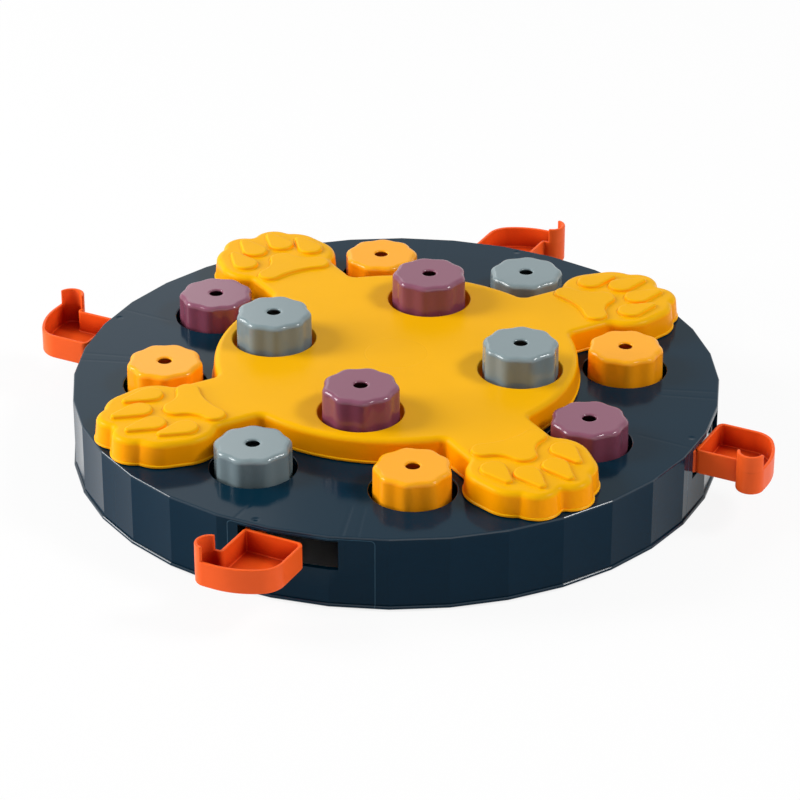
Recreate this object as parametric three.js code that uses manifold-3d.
// Dog puzzle feeder: a round base with treat wells and four swing-out trays, and a turning
// paw-shaped plate, both filled with lift-out scalloped caps. Millimetres, +Z up. The origin is on
// the floor under the middle of the toy. The trays point along X and Y and stand open.
// The base is one moulding on a real toy, and so is the plate. Here thin seams part the base into
// the skirt, four quarters of the deck, the bearing sleeve and the cups of its wells, and the plate
// into its shell, its hub and the cups of its wells.

import * as THREE from 'three';
import Module from 'manifold-3d';

const wasm = await Module();
wasm.setup();

// Counts and angles
const fullTurn = 2 * Math.PI;
const quarters = 4;
const rightAngle = fullTurn / quarters;
const half = 0.5;
const skirtSides = 36;
const capLobes = 9;
const pointsPerLobe = 3;
const roundSegments = 24;
const mediumSegments = 18;
const smallSegments = 10;
const roundingSteps = 2;
const trayOpenAngle = THREE.MathUtils.degToRad(100.9);
const plateTurn = THREE.MathUtils.degToRad(0.6);
const outerCapTurns = [9.1, 7.4, 19.8, 22.4, 37.7, 9.4, 27.7, 37.6].map(THREE.MathUtils.degToRad);
const innerCapTurns = [22, 37.8, 12.8, 11.3].map(THREE.MathUtils.degToRad);

// Fits shared by several pieces
const restGap = 0.3;
const runningGap = 0.3;
const overrun = 1;
const touchTolerance = 1e-6;
const chordTolerance = 0.4;

// Base: deck and skirt
const skirtEdge = 42.9;
const skirtHeight = 34.6;
const skirtWall = 2.2;
const deckThickness = 2.4;
const deckBevel = 0.7;
const lipReach = 0.8;
const lipHeight = 1.6;
const ribThickness = 1.6;

// Soft feet and their sockets
const footStandoff = 0.8;
const footSkirtGap = 2.2;
const footRadius = 6;
const footInset = 1.2;
const footStemRadius = 2.8;
const footStemLength = 8;
const footSocketWall = 2.2;

// Lift-out caps
const capRadius = 17.2;
const capLobeDepth = 0.5;
const capHeight = 23;
const capWall = 1.8;
const capTaper = 0.2;
const capShoulder = 1.2;
const capHoleRadius = 3;
const capRise = 11.9;
const capFingerGap = 1.7;

// Round wells
const wellWall = 1.8;
const wellPairGap = 34.16;
const innerWellEdge = 5.3;

// Wells hidden under the paws
const hiddenWellRadius = 14.5;
const hiddenWellDepth = 14;
const hiddenWellSetback = 1;

// Turning plate
const plateRise = 11.9;
const plateWall = 2.2;
const plateArmHalfWidth = 21.3;
const armCapGap = 5.9;
const discCapGap = 5.2;
const heelCapGap = 3.2;
const plateTopRound = 2.4;
const plateDraft = 0.5;
const plateLipReach = 0.5;
const plateLipHeight = 1.3;
const armpitFillet = 3.5;
const shoulderFillet = 4;
const toeFillet = 1.6;
const padRelief = 1;
const padSlope = 0.9;

// Paw lobes: the heel lies beyond the circle of the caps, and the toes beyond the heel
const heelReach = 10.6;
const heelRadius = 16.8;
const outerToeReach = 9.6;
const outerToeInset = 0.7;
const outerToeRadius = 14.3;
const innerToeReach = 20.6;
const innerToeSide = 8;
const innerToeRadius = 9.8;

// Raised pads on each paw, placed from the heel, the toes and the arm's sides
const padLobeSetback = 16.5;
const padLobeEdge = 8.1;
const padLobeRadius = 5.4;
const padTipSetback = 4.5;
const padTipRadius = 6.1;
const padHeelFillet = 32;
const padSideFillet = 12;
const toePadRadius = 6;
const toePadTipRadius = 1.3;
const toePadLength = 20.3;
const outerToePadSetback = 9.6;
const outerToePadOffset = 5.1;
const innerToePadSetback = 10;
const innerToePadInset = 0.85;

// Turning bearing under the middle of the plate
const hubRadius = 11.2;
const hubWall = 2;
const hubBossRadius = 3.6;
const sleeveWall = 2;
const sleeveLength = 8;
const washerRadius = 16.5;
const washerThickness = 2;
const plateScrewRadius = 1.5;
const plateScrewLength = 9;
const plateScrewHeadRadius = 4.2;
const plateScrewHeadHeight = 2.6;

// Trays, about their pivots: x runs along the closed front and y runs into the base
const pivotSide = -20.9;
const pivotInset = 5.1;
const trayHeight = 12.5;
const trayFloor = 1.5;
const trayWall = 1.5;
const trayFrontOffset = 3.7;
const trayReach = 37.2;
const trayDepth = 25.5;
const trayInnerSide = 3.2;
const trayFarCorner = 12;
const trayNearCorner = 3;
const trayFrontCorner = 2.3;
const trayFootRound = 0.8;
const tabAlong = 30.6;
const tabOut = 5.2;
const tabRadius = 6.5;
const tabFillet = 0.8;
const tabRise = 7;
const tabOverlap = 1;
const tabClearOfSkirt = 0.8;
const trayHubRadius = 4.6;
const trayPinRadius = 2.3;
const trayScrewRadius = 1;
const trayScrewLength = 8;
const trayScrewHeadRadius = 3.2;
const trayScrewHeadHeight = 1.5;

// Slots in the skirt and the pockets behind them
const slotHubRoom = 7.6;
const slotEndGap = 0.9;
const slotFootGap = 0.6;
const trayTopGap = 1;
const pocketLeftAngle = THREE.MathUtils.degToRad(-11.6);
const pocketRightAngle = THREE.MathUtils.degToRad(7.2);
const pocketOuterAngle = THREE.MathUtils.degToRad(9.8);
const slotCutDepth = 7.7;
const pocketRibSetback = 15.6;
const pocketRibDepth = 15;

// The circles of the caps. An outer cap stands at capSide from the middle of the arm beside it and
// at pairSide from the middle of the tray beside it, and an arm and a tray are half a quarter apart.
const halfQuarter = rightAngle * half;
const capReach = capRadius + capLobeDepth;
const wellRadius = capReach + capFingerGap;
const capSide = plateArmHalfWidth + armCapGap + capReach;
const pairSide = wellRadius + wellPairGap * half;
const pairSlope = (pairSide * Math.sin(halfQuarter)) / (capSide + pairSide * Math.cos(halfQuarter));
const capSpread = Math.atan(pairSlope);
const outerCapCircle = pairSide / Math.sin(capSpread);
const capAlong = outerCapCircle * Math.cos(halfQuarter - capSpread);
const plateDiscRadius = outerCapCircle - capReach - discCapGap;
const innerCapCircle = plateDiscRadius - wellRadius - innerWellEdge;

// The skirt, and what stands just inside it
const skirtRadius = outerCapCircle + skirtEdge;
const flatStep = Math.PI / skirtSides;
const skirtFlat = skirtRadius * Math.cos(flatStep);
const skirtInside = skirtFlat - skirtWall;
const socketBoreRadius = footStemRadius + runningGap;
const socketRadius = socketBoreRadius + footSocketWall;
const footAxisRadius = skirtInside - footSkirtGap - socketRadius;
const pivotOut = skirtFlat - pivotInset;
const slotLeft = slotHubRoom - pivotSide;
const slotRight = pivotSide + trayReach + slotEndGap;
const slotCutStart = skirtFlat - slotCutDepth;
const pocketRibStart = outerCapCircle + pocketRibSetback;

// Places on a paw
const heelAlong = outerCapCircle + heelReach;
const heelSide = capSide - leg(heelRadius + capReach + heelCapGap, heelAlong - capAlong);
const outerToeAlong = heelAlong + outerToeReach;
const outerToeSide = heelSide - outerToeInset;
const innerToeAlong = heelAlong + innerToeReach;
const hiddenWellCircle = heelAlong - hiddenWellSetback;
const padLobeAlong = heelAlong - padLobeSetback;
const padLobeSide = plateArmHalfWidth - padLobeEdge;
const padTipAlong = heelAlong - padTipSetback;
const outerToePadAlong = outerToeAlong - outerToePadSetback;
const outerToePadSide = outerToeSide + outerToePadOffset;
const innerToePadAlong = innerToeAlong - innerToePadSetback;
const innerToePadSide = innerToeSide - innerToePadInset;

// Levels worked out from the sizes above
const skirtFoot = footStandoff;
const deckTop = skirtFoot + skirtHeight;
const deckUnder = deckTop - deckThickness;
const deckMiddle = deckTop - deckThickness * half;
const seamTop = deckUnder - restGap;
const plateFoot = deckTop + runningGap;
const plateTop = deckTop + plateRise;
const plateUnder = plateTop - plateWall;
const plateSeamTop = plateUnder - restGap;
const outerCapTop = deckTop + capRise;
const outerWellFloor = outerCapTop - capHeight - restGap;
const hiddenWellFloor = deckTop - hiddenWellDepth;
const innerWellFloor = plateFoot + wellWall;
const innerCapTop = innerWellFloor + restGap + capHeight;
const trayRim = deckUnder - trayTopGap;
const trayFoot = trayRim - trayHeight;
const slotFoot = trayFoot - slotFootGap;
const trayScrewSeat = trayFoot + trayScrewHeadHeight;
const bearingRadius = hubRadius + runningGap;
const hubFoot = deckUnder - sleeveLength - runningGap;
const washerTop = hubFoot - restGap;
const washerFoot = washerTop - washerThickness;
const plateScrewSeat = washerFoot - restGap;
const socketFoot = footStandoff + footInset;

// Materials
function plastic(colour, roughness) {
  return new THREE.MeshStandardMaterial({ color: colour, roughness, metalness: 0 });
}
const navy = plastic(0x22384a, 0.18);
const yellow = plastic(0xf6b418, 0.38);
const orangeCap = plastic(0xf5aa30, 0.3);
const grayCap = plastic(0x8f9ca3, 0.3);
const purpleCap = plastic(0x95667c, 0.3);
const orangeTray = plastic(0xee5f22, 0.36);
const softBlack = plastic(0x2b2b2d, 0.85);
const steel = new THREE.MeshStandardMaterial({ color: 0xb9bcc0, roughness: 0.35, metalness: 1 });

// Solids and booleans
function solid(geometry) {
  const positions = geometry.getAttribute('position').array;
  const mesh = new wasm.Mesh({
    numProp: 3,
    vertProperties: new Float32Array(positions),
    triVerts: new Uint32Array(geometry.getIndex().array),
  });
  return new wasm.Manifold(mesh);
}

function geometryOf(manifold) {
  const mesh = manifold.getMesh();
  const geometry = new THREE.BufferGeometry();
  geometry.setAttribute('position', new THREE.BufferAttribute(mesh.vertProperties, 3));
  geometry.setIndex(new THREE.BufferAttribute(mesh.triVerts, 1));
  geometry.computeVertexNormals();
  return geometry;
}

function named(name, manifold, material) {
  const mesh = new THREE.Mesh(geometryOf(manifold), material);
  mesh.name = name;
  return mesh;
}

function joined(solids) {
  return solids.reduce((whole, next) => whole.add(next));
}

// A closed stack of outlines with equal numbers of points, from the lowest level to the highest
function loft(levels) {
  const count = levels[0].outline.length;
  const positions = levels.flatMap(({ z, outline }) => outline.flatMap((p) => [p.x, p.y, z]));
  const index = [];
  for (let level = 0; level + 1 < levels.length; level += 1) {
    for (let i = 0; i < count; i += 1) {
      const a = level * count + i;
      const b = level * count + ((i + 1) % count);
      index.push(a, b, b + count, a, b + count, a + count);
    }
  }
  const top = (levels.length - 1) * count;
  for (const [a, b, c] of THREE.ShapeUtils.triangulateShape(levels[0].outline, [])) {
    index.push(c, b, a);
  }
  for (const [a, b, c] of THREE.ShapeUtils.triangulateShape(levels.at(-1).outline, [])) {
    index.push(top + a, top + b, top + c);
  }
  const geometry = new THREE.BufferGeometry();
  geometry.setAttribute('position', new THREE.Float32BufferAttribute(positions, 3));
  geometry.setIndex(index);
  return solid(geometry);
}

function prism(outline, low, high) {
  return loft([{ z: low, outline }, { z: high, outline }]);
}

function atAngle(radius, angle) {
  return new THREE.Vector2(radius * Math.cos(angle), radius * Math.sin(angle));
}

function circle(radius, segments, x = 0, y = 0) {
  const centre = new THREE.Vector2(x, y);
  const angles = Array.from({ length: segments }, (_, i) => (i * fullTurn) / segments);
  return angles.map((angle) => atAngle(radius, angle).add(centre));
}

function cylinder(radius, low, high, segments, x = 0, y = 0) {
  return prism(circle(radius, segments, x, y), low, high);
}

function block(x0, x1, y0, y1, low, high) {
  const corners = [[x0, y0], [x1, y0], [x1, y1], [x0, y1]];
  return prism(corners.map(([x, y]) => new THREE.Vector2(x, y)), low, high);
}

// A smooth closed outline that rolls round a list of discs, anticlockwise. A disc is { x, y, r },
// and a negative radius is a fillet that the outline bends round from outside. Growing the outline
// moves every arc outwards by the same amount, so offsets stay exact.
function normalBetween(a, b) {
  const along = Math.atan2(b.y - a.y, b.x - a.x);
  const distance = Math.hypot(b.x - a.x, b.y - a.y);
  return along - Math.acos(THREE.MathUtils.clamp((a.r - b.r) / distance, -1, 1));
}

function touching(a, b) {
  const distance = Math.hypot(b.x - a.x, b.y - a.y);
  return Math.abs(Math.abs(a.r - b.r) - distance) < touchTolerance;
}

function arcSteps(radius, sweep) {
  const tightest = Math.max(Math.abs(radius), chordTolerance);
  const step = 2 * Math.acos(1 - chordTolerance / tightest);
  return Math.ceil(Math.abs(sweep) / step);
}

function discArc(disc, from, to, grow, firstStep) {
  const forward = (((to - from) % fullTurn) + fullTurn) % fullTurn;
  const sweep = disc.r > 0 ? forward : forward - fullTurn;
  const steps = arcSteps(disc.r, sweep);
  const points = [];
  for (let step = firstStep; step <= steps; step += 1) {
    points.push(atAngle(disc.r + grow, from + (sweep * step) / steps).add(disc));
  }
  return points;
}

function discOutline(discs, grow = 0) {
  return discs.flatMap((disc, i) => {
    const before = discs.at(i - 1);
    const after = discs[(i + 1) % discs.length];
    const firstStep = touching(before, disc) ? 1 : 0;
    return discArc(disc, normalBetween(before, disc), normalBetween(disc, after), grow, firstStep);
  });
}

function mirrored(discs) {
  return discs.map((disc) => ({ ...disc, y: -disc.y })).reverse();
}

// The other short side of a right-angled triangle
function leg(longest, short) {
  return Math.sqrt(longest * longest - short * short);
}

// The fillet disc that touches discs a and b from outside, on the right of the way from a to b
function filletBetween(a, b, radius) {
  const reachA = a.r + radius;
  const reachB = b.r + radius;
  const distance = Math.hypot(b.x - a.x, b.y - a.y);
  const along = ((reachA - reachB) * (reachA + reachB) / distance + distance) * half;
  const aside = leg(reachA, along);
  const ux = (b.x - a.x) / distance;
  const uy = (b.y - a.y) / distance;
  return { x: a.x + ux * along + uy * aside, y: a.y + uy * along - ux * aside, r: -radius };
}

function turned(points, angle) {
  const centre = new THREE.Vector2();
  return points.map((point) => point.clone().rotateAround(centre, angle));
}

// Base
function skirtOutline(grow) {
  const corner = (skirtFlat + grow) / Math.cos(flatStep);
  return turned(circle(corner, skirtSides), flatStep);
}

const quarterAngles = Array.from({ length: quarters }, (_, k) => (k * fullTurn) / quarters);
const pawAngles = quarterAngles.map((angle) => angle + halfQuarter);
const outerCapAngles = quarterAngles.flatMap((angle) => [angle - capSpread, angle + capSpread]);

function turnedBy(manifold, angle) {
  return manifold.rotate(0, 0, THREE.MathUtils.radToDeg(angle));
}

// The skirt, with its lip at the floor and a slot for each tray
function baseSkirt() {
  const lipTop = skirtFoot + lipHeight;
  const ring = loft([
    { z: skirtFoot, outline: skirtOutline(lipReach) },
    { z: lipTop, outline: skirtOutline(lipReach) },
    { z: lipTop, outline: skirtOutline(0) },
    { z: seamTop, outline: skirtOutline(0) },
  ]);
  const inside = prism(skirtOutline(-skirtWall), skirtFoot - overrun, deckTop);
  const outward = skirtRadius + lipReach + overrun;
  const slots = quarterAngles.map((axis) => {
    return turnedBy(block(slotCutStart, outward, -slotLeft, slotRight, slotFoot, deckTop), axis);
  });
  return ring.subtract(joined([inside, ...slots]));
}

function radialRib(angle, from, to, low) {
  const side = ribThickness * half;
  return turnedBy(block(from, to, -side, side, low, deckMiddle), angle);
}

// The ribs that guide a tray in its pocket, for the tray whose slot faces the given way
function pocketRibs(axis) {
  const low = deckUnder - pocketRibDepth;
  const end = skirtInside - restGap;
  const offsets = [pocketLeftAngle, pocketRightAngle, pocketOuterAngle];
  return offsets.map((offset) => radialRib(axis + offset, pocketRibStart, end, low));
}

// The pivot of the tray whose slot faces the given way
function pivotPlace(angle) {
  return new THREE.Vector2(pivotOut, pivotSide).rotateAround(new THREE.Vector2(), angle);
}

function trayPin(axis) {
  const { x, y } = pivotPlace(axis);
  const boreRadius = trayScrewRadius + runningGap;
  const boreTop = trayScrewSeat + trayScrewLength + restGap;
  const pin = cylinder(trayPinRadius, trayScrewSeat + restGap, deckMiddle, smallSegments, x, y);
  return pin.subtract(cylinder(boreRadius, trayScrewSeat - overrun, boreTop, smallSegments, x, y));
}

function footSocket(angle) {
  const { x, y } = atAngle(footAxisRadius, angle);
  const boreTop = socketFoot + footStemLength + restGap;
  const post = cylinder(socketRadius, socketFoot, deckMiddle, smallSegments, x, y);
  return post.subtract(cylinder(socketBoreRadius, skirtFoot, boreTop, smallSegments, x, y));
}

// The mouths of the wells in the deck, and the hole for the bearing
function deckHoles() {
  const hole = (radius, { x, y }) => {
    return cylinder(radius, seamTop, deckTop + overrun, roundSegments, x, y);
  };
  return [
    ...outerCapAngles.map((angle) => hole(wellRadius, atAngle(outerCapCircle, angle))),
    ...pawAngles.map((angle) => hole(hiddenWellRadius, atAngle(hiddenWellCircle, angle))),
    hole(bearingRadius, new THREE.Vector2()),
  ];
}

// The quarter of the deck from the tray that faces +X round to the tray that faces +Y
function deckQuarter() {
  const sheet = loft([
    { z: deckUnder, outline: skirtOutline(0) },
    { z: deckTop - deckBevel, outline: skirtOutline(0) },
    { z: deckTop, outline: skirtOutline(-deckBevel) },
  ]);
  const seam = restGap * half;
  const hanging = joined([
    ...pocketRibs(0),
    ...pocketRibs(rightAngle),
    footSocket(halfQuarter),
    trayPin(rightAngle),
  ]);
  const quarter = block(seam, skirtRadius, seam, skirtRadius, skirtFoot, deckTop);
  return sheet.subtract(joined(deckHoles())).add(hanging).intersect(quarter);
}

function bearingSleeve() {
  const low = deckUnder - sleeveLength;
  const outside = cylinder(bearingRadius + sleeveWall, low, seamTop, roundSegments);
  return outside.subtract(cylinder(bearingRadius, low - overrun, deckTop, roundSegments));
}

// A cup that hangs from the sheet above it, with its mouth at the given level
function cup(name, radius, floor, mouth, place, material) {
  const low = floor - wellWall;
  const outside = cylinder(radius + wellWall, low, mouth, mediumSegments);
  const inside = cylinder(radius, floor, mouth + overrun, roundSegments);
  const mesh = named(name, outside.subtract(inside), material);
  mesh.position.set(place.x, place.y, 0);
  return mesh;
}

// Turning plate
const heel = { x: heelAlong, y: heelSide, r: heelRadius };
const outerToe = { x: outerToeAlong, y: outerToeSide, r: outerToeRadius };
const innerToe = { x: innerToeAlong, y: innerToeSide, r: innerToeRadius };

function halfArm() {
  const toeGap = leg(innerToeRadius + toeFillet, innerToeSide);
  const middle = { x: innerToeAlong + toeGap, y: 0, r: -toeFillet };
  const notch = filletBetween(innerToe, outerToe, toeFillet);
  const shoulderY = plateArmHalfWidth + shoulderFillet;
  const shoulderReach = leg(heelRadius + shoulderFillet, shoulderY - heelSide);
  const shoulder = { x: heelAlong - shoulderReach, y: shoulderY, r: -shoulderFillet };
  const armpitY = plateArmHalfWidth + armpitFillet;
  const armpitX = leg(plateDiscRadius + armpitFillet, armpitY);
  const armpit = { x: armpitX, y: armpitY, r: -armpitFillet };
  return { middle, side: [innerToe, notch, outerToe, heel, shoulder, armpit] };
}

function turnedDiscs(discs, angle) {
  return discs.map((disc) => {
    const place = new THREE.Vector2(disc.x, disc.y).rotateAround(new THREE.Vector2(), angle);
    return { ...disc, x: place.x, y: place.y };
  });
}

function plateDiscs() {
  const { middle, side } = halfArm();
  const body = { x: 0, y: 0, r: plateDiscRadius };
  const arm = [...mirrored(side), middle, ...side];
  return pawAngles.flatMap((angle) => [...turnedDiscs(arm, angle), body]);
}

function plateSkin() {
  const discs = plateDiscs();
  const level = (z, grow) => ({ z, outline: discOutline(discs, grow) });
  const roundStart = plateTop - plateTopRound;
  const rounding = Array.from({ length: roundingSteps }, (_, step) => {
    const angle = ((step + 1) * rightAngle) / roundingSteps;
    const drop = plateTopRound * (1 - Math.sin(angle));
    const inset = plateTopRound * (1 - Math.cos(angle));
    return level(plateTop - drop, -plateDraft - inset);
  });
  return loft([
    level(plateFoot, plateLipReach),
    level(plateFoot + plateLipHeight, plateLipReach),
    level(plateFoot + plateLipHeight, 0),
    level(roundStart, -plateDraft),
    ...rounding,
  ]);
}

function raisedPad(discs) {
  const low = plateTop - padRelief;
  return loft([
    { z: low, outline: discOutline(discs) },
    { z: plateTop + padRelief * half, outline: discOutline(discs) },
    { z: plateTop + padRelief, outline: discOutline(discs, -padSlope) },
  ]);
}

function mainPadDiscs() {
  const lobe = { x: padLobeAlong, y: padLobeSide, r: padLobeRadius };
  const tip = { x: padTipAlong, y: 0, r: padTipRadius };
  const dip = leg(padLobeRadius + padHeelFillet, padLobeSide);
  const heelDip = { x: padLobeAlong - dip, y: 0, r: -padHeelFillet };
  const side = filletBetween(tip, lobe, padSideFillet);
  return [...mirrored([side, lobe]), tip, side, lobe, heelDip];
}

function toePadDiscs(along, side) {
  const tip = along + toePadLength - toePadRadius - toePadTipRadius;
  return [
    { x: tip, y: side, r: toePadTipRadius },
    { x: along, y: side, r: toePadRadius },
  ];
}

function plateRelief(angle) {
  const toes = [
    [outerToePadAlong, outerToePadSide],
    [innerToePadAlong, innerToePadSide],
    [innerToePadAlong, -innerToePadSide],
    [outerToePadAlong, -outerToePadSide],
  ];
  const pads = [mainPadDiscs(), ...toes.map(([along, side]) => toePadDiscs(along, side))];
  return pads.map((discs) => raisedPad(turnedDiscs(discs, angle)));
}

function plateHub() {
  const tube = cylinder(hubRadius, hubFoot, plateSeamTop, roundSegments);
  const bore = cylinder(hubRadius - hubWall, hubFoot - overrun, plateSeamTop - hubWall, roundSegments);
  const boss = cylinder(hubBossRadius, hubFoot, plateSeamTop - hubWall * half, smallSegments);
  const pilotTop = hubFoot + plateScrewLength + restGap;
  const pilot = cylinder(plateScrewRadius + runningGap, hubFoot - overrun, pilotTop, smallSegments);
  return tube.subtract(bore).add(boss).subtract(pilot);
}

function pawPlate() {
  const inside = prism(discOutline(plateDiscs(), -plateWall), plateFoot - overrun, plateUnder);
  const mouths = quarterAngles.map((angle) => {
    const { x, y } = atAngle(innerCapCircle, angle);
    return cylinder(wellRadius, plateUnder - overrun, plateTop + overrun, roundSegments, x, y);
  });
  const skin = joined([plateSkin(), ...pawAngles.flatMap(plateRelief)]);
  return turnedBy(skin.subtract(joined([inside, ...mouths])), plateTurn);
}

// Caps
function capOutline(grow) {
  const count = capLobes * pointsPerLobe;
  return Array.from({ length: count }, (_, i) => {
    const angle = (i * fullTurn) / count;
    return atAngle(capRadius + capLobeDepth * Math.cos(capLobes * angle) + grow, angle);
  });
}

function capSolid(top) {
  const foot = top - capHeight;
  const shoulderInset = capShoulder * (1 - Math.cos(halfQuarter));
  const outside = loft([
    { z: foot, outline: capOutline(0) },
    { z: top - capShoulder, outline: capOutline(-capTaper) },
    { z: top - shoulderInset, outline: capOutline(-capTaper - shoulderInset) },
    { z: top, outline: capOutline(-capTaper - capShoulder) },
  ]);
  const hollowRadius = capRadius - capLobeDepth - capTaper - capWall;
  const hollow = cylinder(hollowRadius, foot - overrun, top - capWall, mediumSegments);
  const hole = cylinder(capHoleRadius, foot, top + overrun, smallSegments);
  return outside.subtract(hollow).subtract(hole);
}

function cap(name, place, top, turn, material) {
  const mesh = named(name, capSolid(top), material);
  mesh.position.set(place.x, place.y, 0);
  mesh.rotation.z = turn;
  return mesh;
}

// Trays
function trayDiscs() {
  const frontY = trayFrontCorner - trayFrontOffset;
  const filletY = -trayFrontOffset - tabFillet;
  const farY = trayDepth - trayFarCorner;
  return [
    { x: trayInnerSide + trayFrontCorner, y: frontY, r: trayFrontCorner },
    { x: tabAlong - leg(tabRadius + tabFillet, filletY + tabOut), y: filletY, r: -tabFillet },
    { x: tabAlong, y: -tabOut, r: tabRadius },
    { x: 0, y: 0, r: trayReach },
    { x: leg(trayReach - trayFarCorner, farY), y: farY, r: trayFarCorner },
    { x: trayInnerSide + trayNearCorner, y: trayDepth - trayNearCorner, r: trayNearCorner },
  ];
}

// The half tube that the finger tab forms above the tray's rim, outside the skirt
function tabDiscs() {
  const tabCentre = new THREE.Vector2(tabAlong, -tabOut);
  const tipRadius = trayWall * half;
  const middle = tabRadius - tipRadius;
  const skirtFace = pivotOut - skirtFlat - tabClearOfSkirt;
  const end = Math.asin((skirtFace - tipRadius + tabOut) / middle);
  const right = atAngle(middle, end).add(tabCentre);
  const left = atAngle(middle, Math.PI - end).add(tabCentre);
  return [
    { x: left.x, y: left.y, r: tipRadius },
    { x: tabAlong, y: -tabOut, r: tabRadius },
    { x: right.x, y: right.y, r: tipRadius },
    { x: tabAlong, y: -tabOut, r: trayWall - tabRadius },
  ];
}

function traySolid() {
  const level = (z, grow) => ({ z, outline: discOutline(trayDiscs(), grow) });
  const bowl = loft([
    level(trayFoot, -trayFootRound),
    level(trayFoot + trayFootRound, 0),
    level(trayRim, 0),
  ]);
  const hollow = prism(discOutline(trayDiscs(), -trayWall), trayFoot + trayFloor, trayRim + overrun);
  const tab = prism(discOutline(tabDiscs()), trayRim - tabOverlap, trayRim + tabRise);
  const hub = cylinder(trayHubRadius, trayFoot, trayRim - trayFootRound, mediumSegments);
  const boreRadius = trayPinRadius + runningGap;
  const bore = cylinder(boreRadius, trayFoot - overrun, trayRim + overrun, smallSegments);
  const headRadius = trayScrewHeadRadius + runningGap;
  const counterbore = cylinder(headRadius, trayFoot - overrun, trayScrewSeat + restGap, smallSegments);
  return bowl.subtract(hollow).add(joined([tab, hub])).subtract(joined([bore, counterbore]));
}

function tray(side, axis) {
  const place = pivotPlace(axis);
  const mesh = named(`tray_${side}`, traySolid(), orangeTray);
  mesh.position.set(place.x, place.y, 0);
  mesh.rotation.z = axis + rightAngle - trayOpenAngle;
  return mesh;
}

// A screw with its head down, whose head ends at the given level
function screw(head, shank, headTop) {
  const headDisc = cylinder(head.radius, headTop - head.height, headTop, smallSegments);
  const shankFoot = headTop - head.height * half;
  return headDisc.add(cylinder(shank.radius, shankFoot, headTop + shank.length, smallSegments));
}

function trayScrew(side, axis) {
  const head = { radius: trayScrewHeadRadius, height: trayScrewHeadHeight };
  const shank = { radius: trayScrewRadius, length: trayScrewLength };
  const place = pivotPlace(axis);
  const mesh = named(`tray_screw_${side}`, screw(head, shank, trayScrewSeat), steel);
  mesh.position.set(place.x, place.y, 0);
  return mesh;
}

// Bearing hardware and feet
function plateWasher() {
  const disc = cylinder(washerRadius, washerFoot, washerTop, roundSegments);
  const holeRadius = plateScrewRadius + runningGap;
  const hole = cylinder(holeRadius, washerFoot - overrun, washerTop + overrun, smallSegments);
  return named('plate_washer', disc.subtract(hole), navy);
}

function plateScrew() {
  const head = { radius: plateScrewHeadRadius, height: plateScrewHeadHeight };
  const shank = { radius: plateScrewRadius, length: plateScrewLength + restGap };
  return named('plate_screw', screw(head, shank, plateScrewSeat), steel);
}

function foot(name, angle) {
  const padTop = socketFoot - restGap;
  const stemTop = padTop + footStemLength;
  const pad = loft([
    { z: 0, outline: circle(footRadius - footStandoff, mediumSegments) },
    { z: footStandoff, outline: circle(footRadius, mediumSegments) },
    { z: padTop, outline: circle(footRadius, mediumSegments) },
  ]);
  const stem = cylinder(footStemRadius, padTop - restGap, stemTop, smallSegments);
  const mesh = named(name, pad.add(stem), softBlack);
  const place = atAngle(footAxisRadius, angle);
  mesh.position.set(place.x, place.y, 0);
  return mesh;
}

// Assembly
const sides = ['right', 'back', 'left', 'front'];
const outerColours = [purpleCap, orangeCap, grayCap, orangeCap];
const innerColours = [grayCap, purpleCap];
const toy = new THREE.Group();
toy.add(named('base_skirt', baseSkirt(), navy));
toy.add(named('bearing_sleeve', bearingSleeve(), navy));
toy.add(named('paw_plate', pawPlate(), yellow));
toy.add(named('plate_hub', plateHub(), yellow));
toy.add(plateWasher());
toy.add(plateScrew());
outerCapAngles.forEach((angle, i) => {
  const place = atAngle(outerCapCircle, angle);
  const colour = outerColours[i % outerColours.length];
  toy.add(cup(`outer_cup_${i + 1}`, wellRadius, outerWellFloor, seamTop, place, navy));
  toy.add(cap(`outer_cap_${i + 1}`, place, outerCapTop, outerCapTurns[i], colour));
});
quarterAngles.forEach((axis, k) => {
  const innerPlace = atAngle(innerCapCircle, axis + plateTurn);
  const innerColour = innerColours[k % innerColours.length];
  const hiddenPlace = atAngle(hiddenWellCircle, pawAngles[k]);
  const deck = named(`deck_quarter_${k + 1}`, deckQuarter(), navy);
  deck.rotation.z = axis;
  toy.add(deck);
  toy.add(cup(`inner_cup_${k + 1}`, wellRadius, innerWellFloor, plateSeamTop, innerPlace, yellow));
  toy.add(cup(`hidden_cup_${k + 1}`, hiddenWellRadius, hiddenWellFloor, seamTop, hiddenPlace, navy));
  toy.add(cap(`inner_cap_${k + 1}`, innerPlace, innerCapTop, innerCapTurns[k], innerColour));
  toy.add(tray(sides[k], axis));
  toy.add(trayScrew(sides[k], axis));
  toy.add(foot(`foot_${k + 1}`, pawAngles[k]));
});

export default toy;
